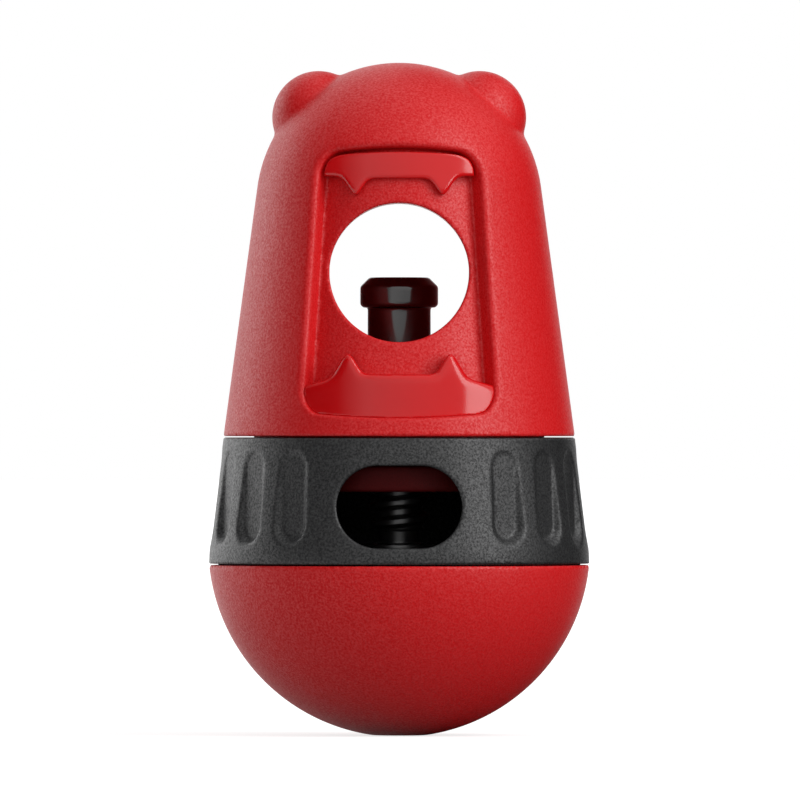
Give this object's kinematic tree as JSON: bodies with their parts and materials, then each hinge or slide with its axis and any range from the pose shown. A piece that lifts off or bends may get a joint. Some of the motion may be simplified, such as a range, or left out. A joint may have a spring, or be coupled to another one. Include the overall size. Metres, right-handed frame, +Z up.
{
  "type": "dog puzzle feeder",
  "caption": "Bear-shaped weighted tumbler feeder: toothed mouth, chew tunnel with a screw-driven clamp, fluted grip band with a kibble window, and a round screw-on base.",
  "frame": {"origin": "middle of the flat foot under the round base", "axes": "+Z up along the axis that the head, the band and the clamp turn about; the face looks along -Y"},
  "size_m": [0.076, 0.076, 0.1345],
  "materials": {
    "red_shell": "red moulded plastic with a fine spark-eroded grain",
    "red_gloss": "smooth glossy red plastic",
    "charcoal_band": "charcoal moulded plastic with a fine spark-eroded grain",
    "black_gloss": "smooth glossy black plastic",
    "black_inner": "plain black plastic",
    "acetal": "ivory bearing plastic",
    "seal_rubber": "black rubber",
    "iron": "cast iron with a dull skin",
    "screw_steel": "plain steel"
  },
  "bodies": {
    "base": {"base_bowl": "red_shell", "counterweight": "iron", "weight_cover": "black_inner", "cover_screws": "screw_steel"},
    "seal": {"seal_ring": "seal_rubber"},
    "band": {"grip_band": "charcoal_band", "drive_spider": "black_inner", "spider_screws": "screw_steel"},
    "head": {"head_front": "red_shell", "head_rear": "red_shell", "upper_gum": "red_gloss", "lower_gum": "red_gloss", "neck_collar": "red_shell", "neck_screws": "screw_steel", "retaining_ring": "red_shell", "retainer_screws": "screw_steel", "clamp_nut": "acetal", "plunger_guide": "acetal"},
    "clamp": {"lead_screw": "black_gloss", "clamp_plunger": "black_gloss", "plunger_screw": "screw_steel"}
  },
  "joints": [
    {"name": "band_lift", "type": "slide", "parent": "base", "child": "seal", "axis": [0, 0, 1], "range_m": [0, 0.006]},
    {"name": "band_turn", "type": "hinge", "parent": "seal", "child": "band", "pos_m": [0, 0, 0.034], "axis": [0, 0, 1], "range_deg": [0, 720]},
    {"name": "head_twist", "type": "hinge", "parent": "band", "child": "head", "pos_m": [0, 0, 0.0597], "axis": [0, 0, 1], "range_deg": [-900, 360]},
    {"name": "clamp_lift", "type": "slide", "parent": "band", "child": "clamp", "axis": [0, 0, 1], "range_m": [-0.0038, 0.0095]}
  ],
  "couplings": [
    {"joint": "band_lift", "follows": "band_turn", "m_per_rad": 0.00047746},
    {"joint": "clamp_lift", "follows": "head_twist", "m_per_rad": -0.00060479}
  ]
}
